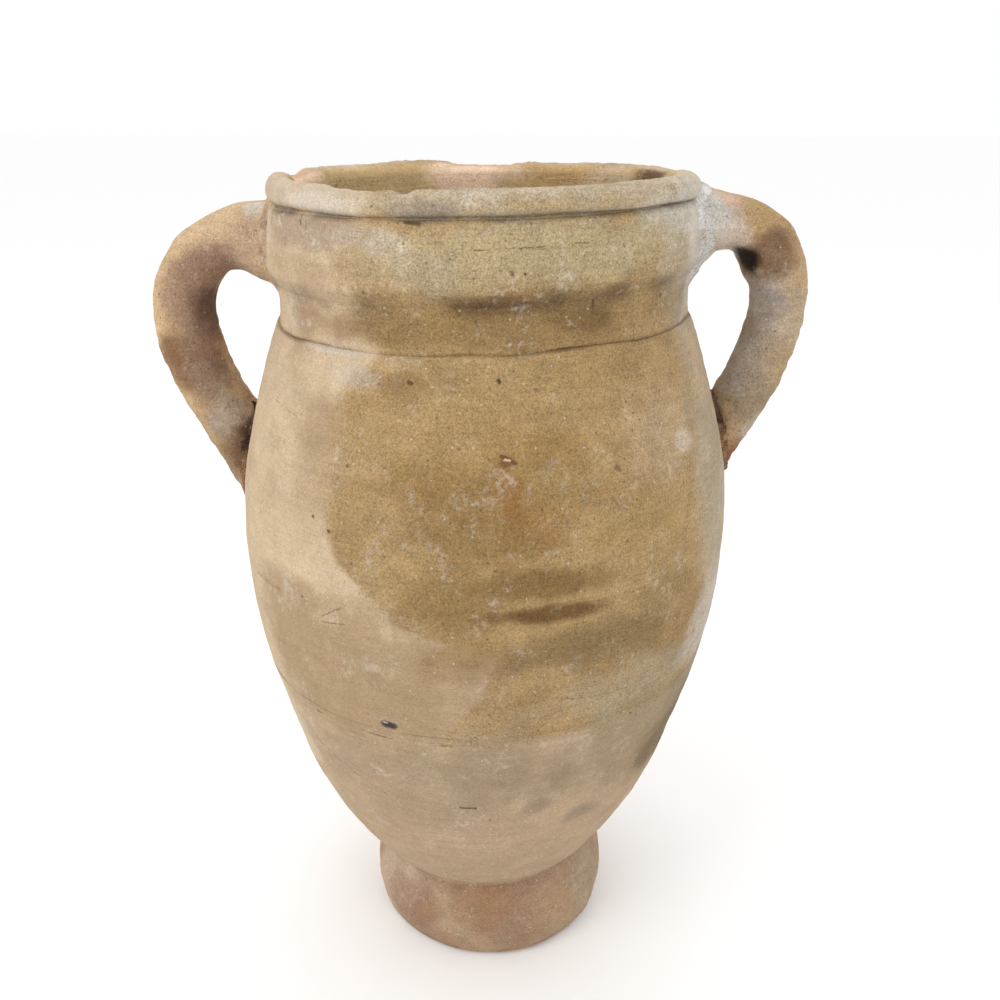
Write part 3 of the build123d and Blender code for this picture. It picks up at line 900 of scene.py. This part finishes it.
def root_place(column, clearance, reach):
    """Where a column of the tube, walked out from its root, first stands `reach` off the pot."""
    past = int(np.argmax(clearance > reach))
    before = max(past - 1, 0)
    span = clearance[past] - clearance[before]
    share = np.clip((reach - clearance[before]) / span, 0, 1) if span > 1e-9 else 0
    return column[before] * (1 - share) + column[past] * share


def on_pot(azimuth, height, lift):
    """A point on the jar's own skin, azimuth in radians from -Y, before the rings lean."""
    return around(pot_radius(height) + lift, azimuth, height)


def wad(name, skin, inner_side, outer_side, colour_of, material, seed):
    """Clay pressed round a handle's root: a ragged fillet from the handle's skin to the pot's.

    `skin` runs out from the root.  Each side gives (up the handle, out over the pot) in mm.
    """
    place = unlean(skin)
    clearance = np.hypot(place[..., 0], place[..., 1]) - pot_radius(place[..., 2])
    columns = place.shape[1]
    inward = 0.5 - 0.5 * np.cos(np.linspace(0, 2 * math.pi, columns, endpoint=False))
    ragged = 1 + 0.25 * noise(place[0], 0.013, seed, 2)
    climb = (outer_side[0] + (inner_side[0] - outer_side[0]) * inward) * MM * ragged
    spread = (outer_side[1] + (inner_side[1] - outer_side[1]) * inward) * MM * ragged
    high = np.array([root_place(place[:, k], clearance[:, k], climb[k]) for k in range(columns)])
    root = np.array([root_place(place[:, k], clearance[:, k], 0.3 * MM) for k in range(columns)])
    azimuth = np.arctan2(root[:, 0], -root[:, 1])
    level = root[:, 2]
    arc = (azimuth - azimuth.mean()) * np.hypot(root[:, 0], root[:, 1])
    rise = level - (level.max() + level.min()) / 2
    far = np.maximum(np.hypot(arc, rise), 1e-6)
    radius = pot_radius(level)
    foot_azimuth = azimuth + spread * arc / far / radius
    foot_level = np.minimum(level + spread * rise / far, HEIGHT - 6 * MM)
    corner = on_pot(azimuth, level, 0.8 * MM)
    foot_ring = on_pot(foot_azimuth, foot_level, -0.5 * MM)
    buried = on_pot(foot_azimuth, foot_level, -3.5 * MM)
    middle = high.mean(axis=0)
    core = high + (middle - high) * 0.25
    share = np.linspace(0, 1, 26)[:, None, None]
    fillet = (1 - share) ** 2 * high + 2 * share * (1 - share) * corner + share**2 * foot_ring
    body = share * (1 - share) * 4
    seen = on_pot(azimuth, level, 1.0) - on_pot(azimuth, level, 0.0)
    bumps = 1.1 * noise(fillet, 0.007, seed + 1, 3) + 0.8
    fillet = fillet + (body[..., 0] * bumps)[..., None] * MM * seen
    nominal = np.concatenate([fillet, [buried], [core * 0.5 + buried * 0.5], [core]])
    points = kept_out_of_mouth(lean(nominal))
    clay_piece(name, points, shaded(colour_of(nominal), nominal, seed + 4), 1.4, material)


# ---------------------------------------------------------------- materials

def add_node(tree, kind, inputs=(), **settings):
    """A shader node; inputs pair a socket's name or number with a value or another socket."""
    node = tree.nodes.new("ShaderNode" + kind)
    for name, value in settings.items():
        setattr(node, name, value)
    for socket, value in dict(inputs).items():
        if isinstance(value, bpy.types.NodeSocket):
            tree.links.new(value, node.inputs[socket])
        else:
            node.inputs[socket].default_value = value
    return node


def math_node(tree, operation, *values, clamp=False):
    node = add_node(tree, "Math", dict(enumerate(values)), operation=operation, use_clamp=clamp)
    return node.outputs[0]


def ramp(tree, value, low, high, to_low=0.0, to_high=1.0):
    """The value stretched from low..high to to_low..to_high and held there."""
    limits = {"From Min": low, "From Max": high, "To Min": to_low, "To Max": to_high}
    node = add_node(tree, "MapRange", {"Value": value, **limits}, clamp=True)
    return node.outputs["Result"]


def mixed(tree, share, first, second, blend="MIX"):
    node = add_node(tree, "Mix", data_type="RGBA", blend_type=blend)
    for number, value in ((0, share), (6, first), (7, second)):
        if isinstance(value, bpy.types.NodeSocket):
            tree.links.new(value, node.inputs[number])
        else:
            node.inputs[number].default_value = value
    return node.outputs[2]


def grain(tree, place, scale, detail=3.0, roughness=0.6):
    inputs = {"Vector": place, "Scale": scale, "Detail": detail, "Roughness": roughness}
    return add_node(tree, "TexNoise", inputs).outputs[0]


def speck_mask(tree, place, scale, size, share):
    """Scattered sand grains: round specks in a share of the cells, 1 at their middles."""
    cells = add_node(tree, "TexVoronoi", {"Vector": place, "Scale": scale})
    chosen = add_node(tree, "SeparateColor", {0: cells.outputs["Color"]}).outputs[0]
    picked = math_node(tree, "LESS_THAN", chosen, share)
    return math_node(tree, "MULTIPLY", ramp(tree, cells.outputs["Distance"], size, size * 0.5), picked)


def streak_mask(tree, place, start, end, half_width):
    """1 within a ragged line from start to end, falling to 0 outside it."""
    along = end - start
    length = max(float(np.linalg.norm(along)), 1e-6)
    offset = add_node(tree, "VectorMath", {0: place, 1: tuple(start)}, operation="SUBTRACT").outputs[0]
    run = add_node(tree, "VectorMath", {0: offset, 1: tuple(along / length)}, operation="DOT_PRODUCT")
    run = add_node(tree, "Clamp", {0: run.outputs["Value"], 1: 0.0, 2: length}).outputs[0]
    near = add_node(tree, "VectorMath", {0: tuple(along / length), 3: run}, operation="SCALE").outputs[0]
    away = add_node(tree, "VectorMath", {0: offset, 1: near}, operation="DISTANCE").outputs["Value"]
    return ramp(tree, away, half_width, half_width * 0.45)


def rgba(colour):
    return (*[float(c) for c in colour], 1.0)


def jittered(tree, place):
    """The same place moved a little by noise, so that marks laid over it have ragged edges."""
    jitter = add_node(tree, "TexNoise", {"Vector": place, "Scale": 420.0, "Detail": 2.0})
    centred = add_node(
        tree, "VectorMath", {0: jitter.outputs["Color"], 1: (0.5, 0.5, 0.5)}, operation="SUBTRACT")
    inputs = {0: centred.outputs[0], 1: (0.0018,) * 3, 2: place}
    return add_node(tree, "VectorMath", inputs, operation="MULTIPLY_ADD").outputs[0]


def clay_material(name, marks=(), sand=0.5, dark=0.12, roughness=0.92, relief=0.35, lime=0.3):
    """Sandy fired clay: tint from the mesh, then grains, specks, pale bloom and its own marks."""
    material = bpy.data.materials.new(name)
    material.use_nodes = True
    tree = material.node_tree
    shader = tree.nodes["Principled BSDF"]
    place = add_node(tree, "TexCoord").outputs["Object"]
    tint = add_node(tree, "Attribute", attribute_name="tint").outputs["Color"]
    grit = add_node(tree, "Attribute", attribute_name="grit").outputs["Fac"]
    fine = ramp(tree, grain(tree, place, 1300.0, 1.0, 0.5), 0.32, 0.68)
    coarse = ramp(tree, grain(tree, place, 620.0, 3.0, 0.7), 0.28, 0.72)
    broad = grain(tree, place, 90.0, 5.0, 0.65)
    wheel_place = add_node(tree, "Mapping", {"Vector": place, "Scale": (45.0, 45.0, 800.0)}).outputs[0]
    wheel = ramp(tree, grain(tree, wheel_place, 1.0, 3.0, 0.6), 0.3, 0.7)
    gain = 0.0
    for layer, share in ((fine, 0.62 * sand), (coarse, 0.5 * sand), (broad, 0.42), (wheel, 0.12)):
        gain = math_node(tree, "MULTIPLY_ADD", math_node(tree, "SUBTRACT", layer, 0.5), share, gain)
    tone = math_node(tree, "MULTIPLY_ADD", gain, math_node(tree, "ADD", grit, 0.2), 1.0)
    toned = add_node(tree, "VectorMath", {0: tint, 3: tone}, operation="SCALE").outputs[0]
    ruddy = ramp(tree, grain(tree, place, 260.0, 3.0, 0.7), 0.48, 0.72, 0.0, 0.16)
    toned = mixed(tree, ruddy, toned, (0.92, 0.78, 0.62, 1.0), "MULTIPLY")
    specks = speck_mask(tree, place, 300.0, 0.24, dark)
    pores = speck_mask(tree, place, 110.0, 0.13, dark * 0.35)
    holes = math_node(tree, "MAXIMUM", math_node(tree, "MULTIPLY", specks, grit), pores, clamp=True)
    grains_pale = speck_mask(tree, place, 330.0, 0.22, 0.10)
    colour = mixed(tree, math_node(tree, "MULTIPLY", grains_pale, 0.4), toned, rgba(LIME))
    clouds, dust = grain(tree, place, 60.0, 3.0, 0.6), grain(tree, place, 380.0, 4.0, 0.8)
    bloom = ramp(tree, math_node(tree, "MULTIPLY", clouds, dust), 0.31, 0.44, 0.0, lime)
    colour = mixed(tree, bloom, colour, rgba(LIME))
    colour = mixed(tree, math_node(tree, "MULTIPLY", holes, 0.55), colour, rgba(DIRT_AND_SHADE))
    ragged = jittered(tree, place)
    depth = math_node(tree, "MULTIPLY", holes, -0.35)
    for start, end, half_width, paint, strength in marks:
        mask = streak_mask(tree, ragged, start, end, half_width * MM)
        colour = mixed(tree, math_node(tree, "MULTIPLY", mask, strength), colour, rgba(paint))
        depth = math_node(tree, "MULTIPLY_ADD", mask, -0.7 * strength, depth)
    tree.links.new(colour, shader.inputs["Base Color"])
    for layer, share in ((coarse, 0.9), (fine, 0.5), (wheel, 0.5)):
        depth = math_node(tree, "MULTIPLY_ADD", layer, share, depth)
    bump = add_node(tree, "Bump", {"Strength": relief, "Distance": 0.0008, "Height": depth})
    tree.links.new(bump.outputs["Normal"], shader.inputs["Normal"])
    dull = ramp(tree, coarse, 0.3, 0.7, roughness - 0.06, min(roughness + 0.05, 1.0))
    tree.links.new(dull, shader.inputs["Roughness"])
    shader.inputs["Specular IOR Level"].default_value = 0.25
    return material


def on_jar(azimuth, level):
    """A point on the jar's skin, azimuth in degrees from its weathered front, level in mm."""
    turn = math.radians(azimuth + FRONT_TURN)
    radius = float(pot_radius(level * MM))
    return lean(np.array([[radius * math.sin(turn), -radius * math.cos(turn), level * MM]]))[0]


PIT = rgb(60, 46, 34)
CRACK = rgb(80, 60, 44)
FAINT_LINE = rgb(120, 96, 66)

# Pits, cracks, scratches and a painted highlight: (azimuth, height) at both ends, half width in mm,
# colour, strength
BODY_MARKS = [
    ((-22.6, 201.8), (-21.0, 201.0), 3.0, rgb(58, 54, 54), 0.9),
    # A painted highlight: a pale glint on the upper left of the dark iron spot.
    ((-22.9, 202.6), (-22.5, 202.7), 0.9, rgb(190, 186, 178), 0.8),
    ((3, 370.5), (3.2, 369.6), 1.3, PIT, 0.85),
    ((-17.4, 369.5), (-16.6, 368.8), 1.2, PIT, 0.7),
    ((28.4, 328.5), (28.8, 327.8), 1.9, rgb(96, 82, 62), 0.7),
    ((-33.5, 301.5), (-33.4, 301), 1.0, PIT, 0.8),
    ((-38, 306), (-37.9, 305.5), 0.9, PIT, 0.8),
    ((26.5, 401), (26.7, 391), 0.9, PIT, 0.7),
    ((3.4, 339), (6.2, 336), 1.3, rgb(92, 62, 38), 0.8),
    ((4.0, 337.6), (5.0, 337), 0.8, rgb(214, 190, 156), 0.8),
    ((-6.8, 145.4), (-3, 145), 1.0, rgb(80, 64, 48), 0.8),
    ((-44, 193), (-26, 192.3), 0.7, rgb(96, 76, 54), 0.7),
    ((-26, 192.3), (-8, 192), 0.7, rgb(96, 76, 54), 0.7),
    ((-8, 192), (6, 194.5), 0.5, rgb(110, 90, 64), 0.5),
    ((6, 196), (32, 200), 0.6, rgb(110, 90, 64), 0.5),
    ((-52, 168), (-40, 158), 0.7, rgb(110, 90, 66), 0.5),
    ((-40, 158), (-28, 147), 0.7, rgb(110, 90, 66), 0.5),
    ((-62, 260), (-50, 261), 0.6, rgb(100, 78, 54), 0.7),
    ((-36, 257), (-29.5, 266), 0.5, rgb(110, 86, 60), 0.6),
    ((-36, 254), (-30, 256), 0.5, rgb(110, 86, 60), 0.6),
    ((16, 217), (24, 214.5), 0.7, rgb(112, 92, 66), 0.6),
    ((24, 214.5), (32, 213), 0.6, rgb(112, 92, 66), 0.6),
    ((15, 253), (33, 264), 0.6, FAINT_LINE, 0.4),
    ((55, 224), (55.2, 223), 1.2, rgb(90, 76, 58), 0.7),
    ((35, 193.5), (35.2, 193), 1.0, rgb(90, 76, 58), 0.7),
    ((-60, 350), (-48, 347), 0.5, FAINT_LINE, 0.5),
    ((-52, 231), (-34, 229), 0.4, FAINT_LINE, 0.35),
    ((-30, 230), (2, 232), 0.4, rgb(110, 86, 56), 0.35),
    ((6, 262), (30, 262), 0.4, rgb(96, 72, 44), 0.4),
]
RIM_MARKS = [
    ((6, 416.3), (6.2, 415.8), 1.2, PIT, 0.85),
    ((9, 415.2), (9.1, 414.8), 0.9, PIT, 0.8),
    ((-2, 425.3), (11, 425.8), 0.5, rgb(84, 64, 42), 0.7),
    ((11, 425.8), (24, 426.2), 0.5, rgb(84, 64, 42), 0.6),
    ((-69, 435), (-69, 429), 1.1, CRACK, 0.7),
    ((-49, 437), (-48.8, 433), 0.9, CRACK, 0.7),
    ((-46.5, 435), (-46.4, 431.5), 0.7, CRACK, 0.7),
    ((-17.5, 436.8), (-14.5, 436), 1.6, rgb(76, 62, 42), 0.8),
    ((26.5, 401), (26.7, 391), 0.9, PIT, 0.7),
    ((50, 397.8), (50.2, 397), 1.2, rgb(80, 62, 44), 0.7),
]


def marks_on(rows):
    """The marks with both ends as points in space."""
    return [(on_jar(*start), on_jar(*end), *rest) for start, end, *rest in rows]


# ---------------------------------------------------------------- scene

def make_camera():
    """The photographer's view: close, a little above the rim, tipped down at the belly."""
    turn = math.radians(FRONT_TURN)
    reach, level = 1.18035 * HEIGHT, 1.07439 * HEIGHT
    data = bpy.data.cameras.new("camera")
    data.lens = 36.0
    data.sensor_width = 36.0
    data.clip_start, data.clip_end = 0.01, 50.0
    camera = bpy.data.objects.new("camera", data)
    camera.location = (reach * math.sin(turn), -reach * math.cos(turn), level)
    camera.rotation_euler = (math.radians(90 - 21.82), 0.0, math.radians(FRONT_TURN - 0.91))
    bpy.context.scene.collection.objects.link(camera)
    bpy.context.scene.camera = camera


def area_light(name, place, size, power, colour):
    data = bpy.data.lights.new(name, "AREA")
    data.shape = "DISK"
    data.size = size
    data.energy = power
    data.color = colour
    light = bpy.data.objects.new(name, data)
    light.location = place
    aim = light.location - cad_bounds[0].lerp(cad_bounds[1], 0.5)
    light.rotation_euler = aim.to_track_quat("Z", "Y").to_euler()
    bpy.context.scene.collection.objects.link(light)


def make_studio():
    """A pale floor, a white surround, and broad soft light from the upper left."""
    bpy.ops.mesh.primitive_plane_add(size=30, location=(0, 0, 0))
    floor = bpy.context.active_object
    floor.name = "floor"
    material = bpy.data.materials.new("floor")
    material.use_nodes = True
    shader = material.node_tree.nodes["Principled BSDF"]
    shader.inputs["Base Color"].default_value = (0.985, 0.985, 0.985, 1)
    shader.inputs["Roughness"].default_value = 0.9
    floor.data.materials.append(material)
    world = bpy.data.worlds.new("surround")
    world.use_nodes = True
    sky = world.node_tree.nodes["Background"]
    sky.inputs["Color"].default_value = (1, 1, 1, 1)
    sky.inputs["Strength"].default_value = 1.0
    bpy.context.scene.world = world
    area_light("key", (-1.0, -1.0, 1.3), 0.9, 8.0, (1.0, 0.985, 0.96))
    area_light("fill", (1.1, -1.2, 0.9), 1.2, 1.5, (0.97, 0.98, 1.0))
    area_light("top", (0.1, 0.5, 1.6), 1.0, 3.0, (1.0, 1.0, 1.0))


def crotch_shade_colour(points):
    """The rough clay round a handle's lower root: painted shade, near black, in the crotch, reddish tan
    below it.
    """
    dark = smoothstep(-0.9, 0.3, noise(points, 0.012, 150, 3))
    colour = mix(rgb(128, 98, 72), rgb(58, 42, 34), dark)
    middle = float(points[..., 2].mean())
    level = points[..., 2] + 3 * MM * noise(points, 0.01, 151, 2)
    return mix(colour, rgb(150, 112, 80), 0.85 * smoothstep(middle + 8 * MM, middle - 3 * MM, level))


def left_root_colour(points):
    browned = smoothstep(-0.5, 0.8, noise(points, 0.012, 152, 2))
    colour = mix(rgb(196, 166, 132), rgb(160, 130, 104), browned)
    return mix(colour, LIME, 0.6 * lime_bloom(points, 0.32, 153))


def plaster_colour(points):
    colour = mix(PLASTER, rgb(232, 229, 224), smoothstep(-0.5, 0.6, noise(points, 0.01, 154, 3)))
    worn = smoothstep(0.25, 0.8, noise(points, 0.012, 155, 3))
    return mix(colour, rgb(190, 158, 132), 0.7 * worn)


def build_amphora():
    body = clay_material("body_clay", marks_on(BODY_MARKS), sand=0.55)
    rim = clay_material("rim_clay", marks_on(RIM_MARKS), sand=0.6, lime=0.45)
    luting = clay_material("luting_clay", sand=0.6)
    body_lower(body)
    body_upper(body)
    neck_band(rim)
    rim_collar(rim)
    rim_lip(rim)
    foot(clay_material("foot_clay", sand=0.5, dark=0.1, lime=0.2))
    foot_luting_band(luting)
    strap = clay_material("handle_clay", sand=0.5, dark=0.12, relief=0.5, lime=0.3)
    left = handle("left", LEFT_RIBS, -1, LEFT_PATCHES, strap)
    right = handle("right", RIGHT_RIBS, 1, RIGHT_PATCHES, strap)
    # Near-black clay for the painted shade in the crotches under the handles' lower roots.
    crotch = clay_material("dark_clay", sand=1.0, dark=0.3, relief=0.8, roughness=0.95)
    plaster = clay_material("lime_plaster", sand=0.5, dark=0.06, relief=0.6, lime=0.6)
    wad("wad_left_top", left, (5, 6), (3, 5), left_root_colour, luting, 160)
    wad("wad_right_top", right, (6, 6), (6, 9), plaster_colour, plaster, 170)
    wad("wad_left_bottom", left[::-1], (11, 5), (1.5, 2.5), crotch_shade_colour, crotch, 180)
    wad("wad_right_bottom", right[::-1], (7, 2.5), (1.5, 2.5), crotch_shade_colour, crotch, 190)


make_camera()
make_studio()
build_amphora()
bpy.context.scene.view_settings.view_transform = "Standard"
